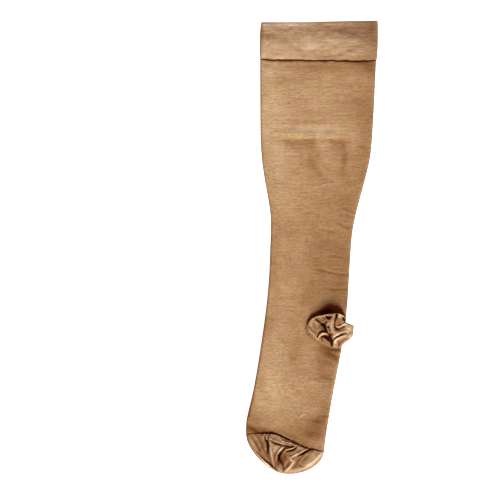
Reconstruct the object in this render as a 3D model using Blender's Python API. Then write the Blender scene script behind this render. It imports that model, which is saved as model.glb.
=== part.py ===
"""Knee-high compression stocking, empty and laid flat on its side on a table.

The stocking is knitted in the round, so its two layers lie on each other as flattened tubes:
a doubled top band, the leg and foot, and a gathered toe. The heel pocket has nothing in it, so it
collapses into a crumpled pouch that lies on the leg and stands out past its edge.

All sizes are in millimetres. "Across" runs along +X. "Down" runs from the top edge to the toe, along
-Y. Heights are above the table, which is the plane z = 0.
"""

from bisect import bisect_right
from collections import namedtuple
from math import cos, exp, hypot, pi, radians, sin

import bmesh
import bpy

MM = 0.001

TOP_DOWN = -1.0            # the highest corner of the top band
TIP_DOWN = 506.2           # the lowest point of the toe
SEAM_GAP = 0.3             # between two knitted stretches that meet end to end
CLEARANCE = 0.4            # between the pouch and the leg under it
HOLLOW = 0.4               # least space between the two layers
LEG_WALL = 1.2
BAND_WALL = 2.0            # two layers of knit
TOE_WALL = 1.4
POUCH_WALL = 1.1
EDGE_ROLL = 0.5            # how far the band's top edge stands out as a rounded rim
CREASE_DEPTH = 0.5         # extra thickness of the leg's upper layer, which its creases are pressed into
SAG_POWER = 1.6            # how sharply the upper layer falls from a side fold to the middle
TOE_SEAM_BEND = 0.27       # share of the width over which the toe's seam runs straight across

LEG_TOP = 42.0             # where the leg's left edge starts, under the band
TOE_SEAM = 461.0           # where the toe's left edge starts

# Faces round a tube.
SIDE_FOLD_STEPS = 4
UNDER_STEPS = 8
LEG_STEPS = 22             # across the upper layer of the leg, and of the band
TOE_STEPS = 44             # across the upper layer of the toe, whose gathers are narrow

# A cross-section of a flattened tube. "station" is where its left end lies, measured down, and its
# right end lies "slant" further down. "bow" swells the line between the ends towards the toe. The side
# folds are "edge" high and the upper layer between them sags to "middle".
Section = namedtuple("Section", "station left right slant bow edge middle")

BAND_SECTIONS = [
    Section(1.5, -57.0, 73.8, -2.0, 0.0, 4.9, 4.6),
    Section(4.0, -57.3, 74.0, -2.0, 0.0, 6.3, 5.7),
    Section(12.0, -58.1, 74.0, -1.2, 0.0, 7.4, 6.6),
    Section(22.0, -58.4, 73.9, 0.0, 0.2, 8.0, 7.3),
    Section(33.0, -58.5, 73.4, 1.2, 0.3, 8.0, 7.3),
    Section(38.5, -58.4, 73.0, 1.8, 0.3, 7.0, 6.5),
    Section(LEG_TOP - SEAM_GAP, -58.1, 72.5, 2.0, 0.3, 5.3, 4.8),
]
LEG_SECTIONS = [
    Section(LEG_TOP, -58.0, 72.2, 2.0, 0.3, 4.4, 3.5),
    Section(48.0, -58.0, 71.8, 1.6, 0.2, 4.6, 3.3),
    Section(58.0, -58.0, 71.3, 0.8, 0.0, 5.2, 3.5),
    Section(87.5, -57.9, 69.9, 0.0, 0.0, 5.8, 3.8),
    Section(132.3, -57.4, 67.3, 0.0, 0.0, 6.0, 3.6),
    Section(154.7, -55.9, 64.7, 0.0, 0.0, 6.0, 3.6),
    Section(177.1, -52.8, 59.4, 0.0, 0.0, 5.9, 3.5),
    Section(199.5, -48.8, 53.4, 0.0, 0.0, 5.7, 3.5),
    Section(216.3, -46.4, 49.1, 0.0, 0.0, 5.6, 3.4),
    Section(233.1, -46.0, 45.7, 0.0, 0.0, 5.5, 3.4),
    Section(255.5, -46.8, 43.5, 0.0, 0.0, 5.4, 3.4),
    Section(289.1, -48.3, 41.4, 0.0, 0.0, 5.3, 3.4),
    Section(322.7, -51.6, 39.1, 0.0, 0.0, 5.2, 3.4),
    Section(367.5, -57.9, 32.5, 2.5, 0.0, 5.4, 3.4),
    Section(412.3, -65.5, 22.9, 8.0, 0.0, 5.5, 3.5),
    Section(445.9, -73.2, 16.1, 15.5, 0.0, 5.0, 3.5),
    Section(TOE_SEAM - SEAM_GAP, -74.0, 13.8, 19.8, 0.0, 4.3, 3.2),
]
TOE_SECTIONS = [
    Section(TOE_SEAM, -74.0, 13.7, 19.8, 0.0, 4.2, 3.3),
    Section(463.5, -73.9, 13.5, 18.8, 0.0, 4.8, 4.8),
    Section(470.0, -72.3, 12.7, 15.5, 0.3, 5.4, 5.8),
    Section(479.5, -66.9, 9.9, 11.0, 0.9, 5.4, 6.0),
    Section(490.0, -58.5, 4.2, 6.2, 1.6, 5.2, 5.8),
    Section(498.3, -48.8, -3.4, 2.9, 1.8, 4.8, 5.3),
    Section(503.8, -39.4, -18.5, 1.0, 1.5, 4.2, 4.6),
]
TOE_TIP = (-29.0, TIP_DOWN, 2.2)         # across, down, height
TOE_TIP_INSIDE = (-29.3, TIP_DOWN - TOE_WALL, 2.2)

# Rings of a tube: from this station on, they follow each other this far apart.
Spacing = namedtuple("Spacing", "station step")
LEG_SPACING = [
    Spacing(LEG_TOP, 4.0),
    Spacing(58.0, 9.0),
    Spacing(114.0, 4.5),
    Spacing(141.0, 9.0),
    Spacing(200.0, 5.0),
    Spacing(290.0, 7.0),
    Spacing(325.0, 4.5),
    Spacing(378.0, 10.0),
    Spacing(455.0, 5.7),
]
TOE_STATIONS = [TOE_SEAM, 462.2, 463.8, 466.5, 470.0, 474.0, 478.5, 483.0, 487.5, 492.0, 496.0, 499.5, 503.8]

# A fold runs from start through bend to end, each (across, down). Its crest stands height above the
# layer round it, or below it as a crease, and it has died away at twice its reach to either side.
Fold = namedtuple("Fold", "start bend end height reach")

LEG_FOLDS = [
    Fold((-50, 119), (6, 121), (60, 118), 0.5, 8.0),        # swell over the crease in the calf
    Fold((-36, 131), (6, 132), (46, 131), -0.8, 5.0),       # crease across the calf
    Fold((-32, 133), (-33, 152), (-30, 172), -0.4, 6.0),
    Fold((-2, 134), (-1, 153), (-4, 174), -0.4, 6.0),
    Fold((37, 130), (38, 146), (35, 162), -0.4, 6.0),
    Fold((-2, 187), (14, 183), (31, 180), 0.5, 4.5),
    Fold((26, 208), (36, 211), (46, 215), -0.7, 4.5),       # short creases behind the ankle
    Fold((5, 226), (24, 230), (43, 236), -0.8, 4.5),
    Fold((13, 259), (26, 261), (40, 263), -0.7, 4.5),
    Fold((7, 277), (24, 281), (41, 285), -0.7, 4.5),
    Fold((-53, 330), (-47, 331), (-38, 333), -0.7, 4.0),
    Fold((-54, 338), (-40, 340), (-26, 342), -0.7, 4.0),
    Fold((-50, 359), (-37, 365), (-24, 371), -0.5, 6.0),    # where the foot turns
    Fold((4, 368), (18, 371), (34, 377), -0.6, 5.0),
    Fold((-30, 392), (-22, 420), (-20, 446), 0.4, 12.0),
]
TOE_FOLDS = [
    Fold((-62, 464), (-56, 479), (-45, 496), 1.1, 3.2),     # left side of the gathers
    Fold((-61, 476), (-53, 488), (-43, 499), -1.3, 2.6),
    Fold((-51, 463), (-49.5, 478), (-42, 498), -2.4, 2.0),
    Fold((-46, 464), (-46, 478), (-41, 496), 1.5, 2.2),
    Fold((-43, 471), (-32, 474), (-19, 476), -2.2, 2.0),    # crease under the flap
    Fold((-32, 469), (-22, 472), (-14, 474.5), 1.4, 2.6),   # flap at the seam
    Fold((-28, 477), (-35, 485), (-31, 499), -2.4, 2.0),    # middle of the gathers
    Fold((-31, 477), (-39, 484), (-38, 496), 1.3, 2.4),
    Fold((-6, 479.5), (-24, 487), (-30, 500), 1.6, 2.2),    # long gather to the right
    Fold((-2, 479), (-11, 483), (-20, 486.5), -2.2, 2.0),
    Fold((0, 487), (-8, 495), (-21, 497), -1.4, 3.0),
    Fold((11, 484), (3, 494.5), (-20, 502), 0.9, 3.0),      # rim along the right side
]

# The pouch's outline seen from above: its reach from the centre at each bearing, in degrees from
# +X towards the toe.
Lobe = namedtuple("Lobe", "bearing reach")
POUCH_CENTRE = (21.0, 345.0)
POUCH_HEIGHT = 9.2
POUCH_HOLLOW = 1.2         # inside it, under the crumpled layers
POUCH_LOBES = [
    Lobe(-170, 26.3), Lobe(-157, 27.1), Lobe(-145, 25.6), Lobe(-131, 21.8), Lobe(-108, 18.7),
    Lobe(-78, 19.4), Lobe(-59, 22.2), Lobe(-45, 21.2), Lobe(-30, 19.8), Lobe(-17, 20.9),
    Lobe(-8, 25.6), Lobe(15, 25.6), Lobe(25, 24.5), Lobe(38, 21.9), Lobe(54, 21.5),
    Lobe(83, 19.8), Lobe(101, 16.9), Lobe(131, 16.5), Lobe(155, 18.8), Lobe(172, 22.0),
]
POUCH_FOLDS = [
    Fold((-2, 338), (3, 343), (6, 349), -1.6, 11.0),        # left lobe, lower than the rest
    Fold((3, 331), (10, 337), (15, 346), -2.8, 2.6),        # its right side
    Fold((17, 327), (18, 331), (18, 335), -2.2, 2.6),       # hollow at the top
    Fold((16, 334), (18, 346), (22.5, 363), -3.4, 2.4),     # long crease down the middle
    Fold((23, 330), (22.5, 341), (25, 353), 1.2, 3.4),      # tongue beside it
    Fold((27, 327), (26.5, 336), (29, 343), -2.6, 2.3),
    Fold((28, 343), (33, 342.5), (39, 339), -2.2, 2.3),
    Fold((34, 329), (36, 333), (39, 337), -1.8, 2.4),
    Fold((29, 347), (37, 345), (45, 345), 0.8, 3.4),        # right lobe
    Fold((22, 358), (27, 352), (37, 349), -2.6, 2.3),
    Fold((29, 364), (30, 360), (32, 356), -1.4, 2.3),
    Fold((5, 353), (9, 347), (17, 345.5), -2.0, 2.3),       # arc across the lower left lobe
    Fold((6, 355), (11, 350), (18, 350), 1.4, 2.4),
    Fold((10, 354), (16, 354), (21, 355), -2.4, 2.4),
]
POUCH_TOP_RINGS = [0.1, 0.2, 0.3, 0.4, 0.5, 0.6, 0.7, 0.78, 0.85, 0.92, 0.97]    # shares of the reach
POUCH_UNDER_RINGS = [0.97, 0.8, 0.6]
POUCH_INNER_RINGS = [0.85, 0.6, 0.3]
POUCH_INNER_RIM = 0.92
POUCH_MOUTH = 0.45         # the pocket's mouth, hidden underneath
POUCH_BEARING_STEP = 7.5
POUCH_DROOP = 3.0          # how far the pouch sinks past the leg's edge
POUCH_DROOP_REACH = 8.0

# Linear colour, roughness.
Finish = namedtuple("Finish", "name colour roughness")
BAND_KNIT = Finish("band_knit", (0.485, 0.292, 0.162), 0.85)
LEG_KNIT = Finish("leg_knit", (0.515, 0.305, 0.156), 0.82)
POCKET_KNIT = Finish("pocket_knit", (0.376, 0.216, 0.107), 0.88)


def smoothstep(x):
    """Rises from 0 to 1 with level ends."""
    x = min(max(x, 0.0), 1.0)
    return x * x * (3 - 2 * x)


def between(keys, values, key):
    """The value at a key, on a smooth curve through the values at the keys."""
    key = min(max(key, keys[0]), keys[-1])
    i = min(bisect_right(keys, key), len(keys) - 1) - 1

    def slope(j):
        before, after = max(j - 1, 0), min(j + 1, len(keys) - 1)
        return (values[after] - values[before]) / (keys[after] - keys[before])

    span = keys[i + 1] - keys[i]
    t = (key - keys[i]) / span
    start = values[i] * (1 + 2 * t) + slope(i) * span * t
    end = values[i + 1] * (3 - 2 * t) - slope(i + 1) * span * (1 - t)
    return start * (1 - t) ** 2 + end * t ** 2


def section_at(sections, station):
    """The cross-section at a station, with every column read from the same smooth curves."""
    stations = [section.station for section in sections]
    columns = list(zip(*sections))[1:]
    return Section(station, *(between(stations, column, station) for column in columns))


def down_at(section, share):
    """How far down a section lies, at a share of its width from the left."""
    seam_shape = smoothstep((share - TOE_SEAM_BEND) / (1 - TOE_SEAM_BEND))
    return section.station + section.slant * seam_shape + section.bow * 4 * share * (1 - share)


def fold_height(folds, across, down):
    """The sum of what the folds add at a point."""
    total = 0.0
    for fold in folds:
        side, along = nearest_on_fold(fold, across, down)
        if abs(side) < 3 * fold.reach:
            total += fold.height * exp(-2 * (side / fold.reach) ** 2) * sin(pi * along) ** 0.5
    return total


def nearest_on_fold(fold, across, down, pieces=10):
    """Distance to a fold's line, and how far along the line the nearest point lies, from 0 to 1."""
    best = (1e9, 0.0)
    for i in range(pieces):
        (x0, y0), (x1, y1) = fold_point(fold, i / pieces), fold_point(fold, (i + 1) / pieces)
        length = hypot(x1 - x0, y1 - y0)
        t = ((across - x0) * (x1 - x0) + (down - y0) * (y1 - y0)) / length ** 2
        t = min(max(t, 0.0), 1.0)
        gap = hypot(across - x0 - t * (x1 - x0), down - y0 - t * (y1 - y0))
        best = min(best, (gap, (i + t) / pieces))
    return best


def fold_point(fold, t):
    """A point of the parabola through a fold's start, bend and end."""
    start, bend, end = (1 - t) * (1 - 2 * t), 4 * t * (1 - t), t * (2 * t - 1)
    return tuple(start * a + bend * b + end * c for a, b, c in zip(fold.start, fold.bend, fold.end))


def upper_layer(section, share, across, down, folds, wall):
    """Height of a tube's upper face, with its folds, never closer to the table than its two walls."""
    from_middle = abs(2 * share - 1)
    sag = section.middle + (section.edge - section.middle) * from_middle ** SAG_POWER
    creased = sag + fold_height(folds, across, down) * (1 - from_middle ** 6)
    return max(creased, 2 * wall + HOLLOW)


def tube_loop(section, folds, wall, inset, over, shift=0.0):
    """One loop round a flattened tube, as (across, down, height) points. It lies in the wall, inset from
    the outside, with over faces across its upper layer, and shift moves it down the tube."""
    radius = section.edge / 2
    width = section.right - section.left
    left, right = section.left + radius, section.right - radius
    points = []

    def add(across, height):
        points.append((across, down_at(section, (across - section.left) / width) + shift, height))

    for i in range(UNDER_STEPS):
        add(left + (right - left) * i / UNDER_STEPS, inset)
    for i in range(SIDE_FOLD_STEPS):
        angle = pi * i / SIDE_FOLD_STEPS - pi / 2
        add(right + (radius - inset) * cos(angle), radius + (radius - inset) * sin(angle))
    for i in range(over):
        share = 1 - i / over
        across = left + (right - left) * share
        down = down_at(section, (across - section.left) / width)
        add(across, upper_layer(section, share, across, down, folds, wall) - inset)
    for i in range(SIDE_FOLD_STEPS):
        angle = pi * i / SIDE_FOLD_STEPS + pi / 2
        add(left + (radius - inset) * cos(angle), radius + (radius - inset) * sin(angle))
    return points


def stations_of(spacing, end):
    """Stations from a spacing table, with the last one at the end."""
    stations = [spacing[0].station]
    while stations[-1] < end:
        step = [row.step for row in spacing if row.station <= stations[-1] + 1e-6][-1]
        stations.append(stations[-1] + step)
    stations[-1] = end
    return stations


def solid(name, loops, finish):
    """A closed body through loops of (across, down, height) points. A loop of one point is a pole."""
    mesh = bmesh.new()
    rows = [[mesh.verts.new(place(*point)) for point in loop] for loop in loops]
    for row, following in zip(rows, rows[1:] + rows[:1]):
        join_rows(mesh, row, following)
    bmesh.ops.triangulate(mesh, faces=mesh.faces, quad_method="SHORT_EDGE")
    bmesh.ops.recalc_face_normals(mesh, faces=mesh.faces)
    if mesh.calc_volume(signed=True) < 0:
        bmesh.ops.reverse_faces(mesh, faces=mesh.faces)
    data = bpy.data.meshes.new(name)
    mesh.to_mesh(data)
    mesh.free()
    data.shade_smooth()
    data.materials.append(knit(finish))
    piece = bpy.data.objects.new(name, data)
    bpy.context.scene.collection.objects.link(piece)
    return piece


def join_rows(mesh, row, following):
    """Faces between two rows of vertices, either of which may be a pole."""
    if len(row) == 1 and len(following) == 1:
        return
    count = max(len(row), len(following))
    for i in range(count):
        j = (i + 1) % count
        corners = [row[i % len(row)], row[j % len(row)]]
        corners += [following[j % len(following)], following[i % len(following)]]
        mesh.faces.new(list(dict.fromkeys(corners)))


def place(across, down, height):
    """A point of the layout in world metres, with the layout's middle over the origin."""
    return across * MM, ((TOP_DOWN + TIP_DOWN) / 2 - down) * MM, height * MM


def knit(finish):
    """The material of one kind of knit."""
    material = bpy.data.materials.get(finish.name) or bpy.data.materials.new(finish.name)
    material.use_nodes = True
    shader = material.node_tree.nodes["Principled BSDF"]
    shader.inputs["Base Color"].default_value = (*finish.colour, 1.0)
    shader.inputs["Roughness"].default_value = finish.roughness
    shader.inputs["Metallic"].default_value = 0.0
    return material


def top_band():
    """The doubled welt: a thick-walled tube with a rounded rim at its top edge."""
    def loop(section, inset, shift=0.0):
        return tube_loop(section, [], BAND_WALL, inset, LEG_STEPS, shift)

    middle_of_wall = BAND_WALL / 2
    loops = [loop(BAND_SECTIONS[0], middle_of_wall, shift=-EDGE_ROLL)]
    loops += [loop(section, 0.0) for section in BAND_SECTIONS]
    loops += [loop(BAND_SECTIONS[-1], middle_of_wall)]
    loops += [loop(section, BAND_WALL) for section in BAND_SECTIONS[::-2]]
    return solid("top_band", loops, BAND_KNIT)


def leg_tube():
    """The leg and foot, smooth inside, open at the band and at the toe."""
    stations = stations_of(LEG_SPACING, LEG_SECTIONS[-1].station)
    outside = [section_at(LEG_SECTIONS, station) for station in stations]
    inside = [section._replace(middle=section.middle - CREASE_DEPTH)
              for section in outside[:-1:3] + outside[-1:]]
    loops = [tube_loop(section, LEG_FOLDS, LEG_WALL, 0.0, LEG_STEPS) for section in outside]
    loops += [tube_loop(section, [], LEG_WALL, LEG_WALL, LEG_STEPS) for section in reversed(inside)]
    return solid("leg_tube", loops, LEG_KNIT)


def toe_cap():
    """The gathered toe, open at the seam to the foot and closed at its tip."""
    sections = [section_at(TOE_SECTIONS, station) for station in TOE_STATIONS]
    loops = [tube_loop(section, TOE_FOLDS, TOE_WALL, 0.0, TOE_STEPS) for section in sections]
    loops += [[TOE_TIP], [TOE_TIP_INSIDE]]
    loops += [tube_loop(section, TOE_FOLDS, TOE_WALL, TOE_WALL, TOE_STEPS) for section in sections[-2::-1]]
    return solid("toe_cap", loops, POCKET_KNIT)


def pouch_reach(bearing):
    """Distance from the pouch's centre to its outline at a bearing in degrees."""
    bearings = [lobe.bearing + turn for turn in (-360, 0, 360) for lobe in POUCH_LOBES]
    reaches = [lobe.reach for lobe in POUCH_LOBES] * 3
    return between(bearings, reaches, bearing)


def pouch_floor(across, down):
    """Height of the pouch's underside: just above the leg, and drooping past the leg's right edge."""
    section = section_at(LEG_SECTIONS, down)
    radius = section.edge / 2
    left, right = section.left + radius, section.right - radius
    share = min(max((across - left) / (right - left), 0.0), 1.0)
    leg = upper_layer(section, share, across, down, LEG_FOLDS, LEG_WALL)
    past_edge = smoothstep((across - section.right - CLEARANCE) / POUCH_DROOP_REACH)
    return leg + CLEARANCE - POUCH_DROOP * past_edge


def pouch_point(bearing, share, rise):
    """A point of the pouch at a bearing and a share of its reach, raised over its underside."""
    reach = share * pouch_reach(bearing)
    across = POUCH_CENTRE[0] + reach * cos(radians(bearing))
    down = POUCH_CENTRE[1] + reach * sin(radians(bearing))
    return across, down, pouch_floor(across, down) + rise(share, across, down)


def pouch_top(share, across, down):
    """How far the pouch's top stands over its underside: a cushion with steep sides and deep creases."""
    cushion = POUCH_HEIGHT * (1 - share ** 4) ** 0.5
    return max(cushion + fold_height(POUCH_FOLDS, across, down), 2 * POUCH_WALL + POUCH_HOLLOW)


def heel_pouch():
    """The collapsed heel pocket. Its crumpled upper layers lie on each other as one thick layer, over
    a thin under layer that lies on the leg and has the pocket's mouth in it."""
    bearings = [-180 + POUCH_BEARING_STEP * i for i in range(round(360 / POUCH_BEARING_STEP))]

    def ring(share, rise):
        return [pouch_point(bearing, share, rise) for bearing in bearings]

    def pole(rise):
        return [pouch_point(0.0, 0.0, rise)]

    def level(height):
        return lambda share, across, down: height

    rim = level(POUCH_WALL + HOLLOW / 2)
    loops = [pole(pouch_top)] + [ring(share, pouch_top) for share in POUCH_TOP_RINGS]
    loops += [ring(1.0, rim)] + [ring(share, level(0.0)) for share in POUCH_UNDER_RINGS + [POUCH_MOUTH]]
    loops += [ring(share, level(POUCH_WALL)) for share in [POUCH_MOUTH] + POUCH_UNDER_RINGS[:0:-1]]
    loops += [ring(POUCH_INNER_RIM, rim)]
    loops += [ring(share, level(POUCH_WALL + POUCH_HOLLOW)) for share in POUCH_INNER_RINGS]
    loops += [pole(level(POUCH_WALL + POUCH_HOLLOW))]
    return solid("heel_pouch", loops, POCKET_KNIT)


def main():
    for old in list(bpy.data.objects):
        bpy.data.objects.remove(old, do_unlink=True)
    for build in (top_band, leg_tube, toe_cap, heel_pouch):
        build()


main()
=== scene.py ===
import bmesh
import bpy
import numpy as np
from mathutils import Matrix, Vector, noise


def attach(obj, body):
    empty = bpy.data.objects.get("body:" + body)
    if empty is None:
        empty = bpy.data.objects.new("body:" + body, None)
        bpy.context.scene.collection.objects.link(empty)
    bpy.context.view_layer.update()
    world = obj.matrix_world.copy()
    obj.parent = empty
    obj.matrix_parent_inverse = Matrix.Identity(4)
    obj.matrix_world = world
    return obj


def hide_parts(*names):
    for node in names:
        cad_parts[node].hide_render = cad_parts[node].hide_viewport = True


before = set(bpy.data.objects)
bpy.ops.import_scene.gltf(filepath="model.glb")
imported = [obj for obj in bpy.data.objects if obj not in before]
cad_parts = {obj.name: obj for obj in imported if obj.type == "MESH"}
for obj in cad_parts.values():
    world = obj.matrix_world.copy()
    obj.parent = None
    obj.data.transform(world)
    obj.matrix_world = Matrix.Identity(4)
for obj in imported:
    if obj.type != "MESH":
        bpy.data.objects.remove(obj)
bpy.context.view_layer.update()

print("frame loaded:", ", ".join(sorted(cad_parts)))

# The stocking lies empty and flat on its side. It is laid out in millimetres: "across" runs along +X,
# "down" runs from the top edge to the toe, along -Y, and heights are above the table.
mm = 0.001
topDown = -1.0
tipDown = 506.2
middleDown = (topDown + tipDown) / 2
leastHollow = 0.4  # between the two layers
leastTone, mostTone = 0.03, 1.6


def smoothstep(x):
    x = np.clip(x, 0.0, 1.0)
    return x * x * (3 - 2 * x)


def bell(x):
    return np.exp(-x * x)


def between(keys, values, at):
    # a smooth curve through the values at the keys
    keys, values = np.array(keys, float), np.array(values, float)
    at = np.clip(at, keys[0], keys[-1])
    i = np.clip(np.searchsorted(keys, at, side="right") - 1, 0, len(keys) - 2)
    before = np.maximum(np.arange(len(keys)) - 1, 0)
    after = np.minimum(np.arange(len(keys)) + 1, len(keys) - 1)
    slope = (values[after] - values[before]) / (keys[after] - keys[before])
    span = keys[i + 1] - keys[i]
    t = (at - keys[i]) / span
    start = values[i] * (1 + 2 * t) + slope[i] * span * t
    end = values[i + 1] * (3 - 2 * t) - slope[i + 1] * span * (1 - t)
    return start * (1 - t) ** 2 + end * t ** 2


def ripple(across, down, width, length, seed):
    # soft random waves from -1 to 1, about that wide and long; the same for the same seed
    flat = zip((across / width).ravel(), (down / length).ravel())
    return np.array([noise.noise(Vector((x, y, seed))) for x, y in flat]).reshape(across.shape)


def waves(table, across, down):
    # each wave is (height, width, length, seed)
    return sum(height * ripple(across, down, width, length, seed) for height, width, length, seed in table)


# Folds are drawn as strokes through a few points, each (across, down, strength in tenths), so
# that they swell and die away unevenly. A flap is the edge of one layer of cloth lying over another: its
# crest falls gently behind it and steeply into a crevice on the right of the stroke's direction. A ridge
# and a crease are the same on both sides. "shade" is painted shade at the bottom, where little light gets
# in, and the last value of a flap or a ridge is a painted highlight along the crest.
def flap(points, crest, back, front, depth=0.0, far=1.0, lean=0.0, shade=0.0, paintedHighlight=0.0):
    return dict(points=points, crest=crest, back=back, front=front, depth=depth, near=0.8 * front,
                far=far, gap=1.6 * front, lean=lean, shade=shade, paintedHighlight=paintedHighlight)


def ridge(points, height, reach, paintedHighlight=0.0):
    return dict(points=points, crest=height, back=reach, front=reach, depth=0.0, near=1.0,
                far=1.0, gap=0.0, lean=0.0, shade=0.0, paintedHighlight=paintedHighlight)


def crease(points, depth, reach, shade=0.0):
    return dict(points=points, crest=0.0, back=1.0, front=1.0, depth=depth, near=reach,
                far=reach, gap=0.0, lean=0.0, shade=shade, paintedHighlight=0.0)


def smoothPath(points, pieces=8):
    points = np.array(points, float)
    whole = np.vstack([2 * points[0] - points[1], points, 2 * points[-1] - points[-2]])
    t = np.linspace(0, 1, pieces, endpoint=False)[:, None]
    spans = [b + ((c - a) * t + (2 * a - 5 * b + 4 * c - d) * t ** 2 + (3 * b - a - 3 * c + d) * t ** 3) / 2
             for a, b, c, d in zip(whole, whole[1:], whole[2:], whole[3:])]
    return np.vstack(spans + [points[-1:]])


def nearestOnPath(path, across, down):
    # signed distance from the path, its strength there, and the direction to its right
    start, step = path[:-1], np.diff(path, axis=0)
    length = np.hypot(step[:, 0], step[:, 1])
    dx, dy = across[:, None] - start[:, 0], down[:, None] - start[:, 1]
    t = np.clip((dx * step[:, 0] + dy * step[:, 1]) / length ** 2, 0, 1)
    gapX, gapY = dx - t * step[:, 0], dy - t * step[:, 1]
    gap = np.hypot(gapX, gapY)
    rows, best = np.arange(len(across)), gap.argmin(axis=1)
    side = np.sign(step[best, 0] * gapY[rows, best] - step[best, 1] * gapX[rows, best])
    strength = np.maximum(start[best, 2] + t[rows, best] * step[best, 2], 0)
    right = np.stack([-step[best, 1], step[best, 0]], axis=1) / length[best, None]
    return side * gap[rows, best], strength, right


# A weak stretch of a fold is narrower too. Part of the painted shade (dusk) in a crevice spreads further
# than it does, and a crest that leans takes the cloth beside it along. Past "margin" reaches, a fold does
# nothing.
foldLook = dict(narrowing=0.6, duskShare=0.25, duskReach=2.4, leanReach=1.3, darkest=0.96, margin=3)


def relief(folds, across, down):
    # what the folds do at each point: how far it rises and is pushed across and down, and its tone, with
    # painted shade and painted highlights
    added = {name: np.zeros(across.shape) for name in ("rise", "pushAcross", "pushDown")}
    added["tone"] = np.ones(across.shape)
    for fold in folds:
        path = smoothPath(fold["points"])
        path[:, 2] /= 10
        widest = max(fold["back"], fold["near"], fold["gap"] + fold["front"], fold["gap"] + 2 * fold["far"])
        low = path[:, :2].min(axis=0) - foldLook["margin"] * widest
        high = path[:, :2].max(axis=0) + foldLook["margin"] * widest
        near = (across > low[0]) & (across < high[0]) & (down > low[1]) & (down < high[1])
        if not near.any():
            continue
        side, strength, right = nearestOnPath(path, across[near], down[near])
        side = side / (1 - foldLook["narrowing"] * (1 - strength))
        past = side - fold["gap"]
        crest = bell(side / np.where(side < 0, fold["back"], fold["front"]))
        crevice = bell(past / np.where(past < 0, fold["near"], fold["far"]))
        spread = bell(past / (foldLook["duskReach"] * fold["far"]))
        dusk = crevice + foldLook["duskShare"] * (spread - crevice)
        lean = fold["lean"] * strength * bell(side / (foldLook["leanReach"] * fold["front"]))
        added["rise"][near] += (fold["crest"] * crest - fold["depth"] * crevice) * strength
        added["pushAcross"][near] += lean * right[:, 0]
        added["pushDown"][near] += lean * right[:, 1]
        added["tone"][near] *= 1 - np.clip(fold["shade"] * strength * dusk, 0, foldLook["darkest"])
        added["tone"][near] *= 1 + fold["paintedHighlight"] * strength * bell(side / fold["front"])
    return added


# A patch is a soft-edged spot painted that many percent darker (below 0) or lighter: painted shade and
# painted light, such as the pouch's shadow on the leg and the darker right side of the leg.
patchColumns = ("across", "down", "halfWidth", "halfLength", "percent")


def patchTone(patches, across, down):
    tone = np.ones(across.shape)
    for row in patches:
        patch = dict(zip(patchColumns, row))
        far = ((across - patch["across"]) / patch["halfWidth"]) ** 2
        far += ((down - patch["down"]) / patch["halfLength"]) ** 2
        tone *= 1 + patch["percent"] / 100 * np.exp(-far)
    return tone


# A cross-section of a flattened tube. Its left end lies at "station", measured down, and its right
# end lies "slant" further down; "bow" swells the line between them towards the toe. The side folds are
# "edge" high, and the upper layer between them sags or swells to "middle".
sectionColumns = ("station", "left", "right", "slant", "bow", "edge", "middle")
# The toe's seam runs straight across from the left, then slants: how much of the slant is done at each
# share of the width.
seamCurve = dict(share=(0, 0.3, 0.37, 0.44, 0.5, 0.56, 0.63, 0.69, 0.76, 0.82, 0.9, 1),
                 slanted=(0, 0, 0.03, 0.15, 0.28, 0.4, 0.54, 0.68, 0.81, 0.87, 0.93, 1))


def sectionsAt(table, stations):
    columns = list(zip(*table))
    read = {name: between(columns[0], column, stations)[:, None]
            for name, column in zip(sectionColumns, columns)}
    read["station"] = stations[:, None]
    return read


def downAt(section, share):
    seamShape = between(seamCurve["share"], seamCurve["slanted"], share)
    return section["station"] + section["slant"] * seamShape + section["bow"] * 4 * share * (1 - share)


def upperLayer(piece, section, share, across, down):
    # height of the upper layer, with its folds
    fromMiddle = np.abs(2 * share - 1)
    sag = section["middle"] + (section["edge"] - section["middle"]) * fromMiddle ** piece["sagPower"]
    added = relief(piece["folds"], across, down)
    inside = 1 - fromMiddle ** piece["insidePower"]
    height = sag + (added["rise"] + waves(piece["waves"], across, down)) * inside
    return np.maximum(height, 2 * piece["wall"] + leastHollow), added, sag, inside


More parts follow.
